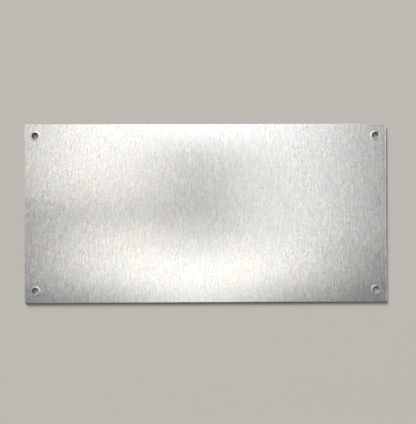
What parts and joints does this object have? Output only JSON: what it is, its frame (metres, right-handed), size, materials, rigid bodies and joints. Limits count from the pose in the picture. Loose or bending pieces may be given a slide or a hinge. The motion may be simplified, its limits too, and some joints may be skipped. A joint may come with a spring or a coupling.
{
  "type": "letter plate cover",
  "caption": "Flat rectangular brushed-metal cover plate for a door's letter opening, with a punched screw hole in each corner and eased edges.",
  "frame": {"origin": "middle of the back face, the face that lies against the door", "axes": "+X along the length, +Y along the width towards the top edge, +Z out of the front face; the plate lies face up"},
  "size_m": [0.304, 0.15, 0.0017],
  "materials": {
    "brushed_steel_plate": "satin brushed along the short side, with low bright rims round the punched holes and eased edges"
  },
  "bodies": {
    "root": {"blanking_plate": "brushed_steel_plate"}
  },
  "joints": []
}
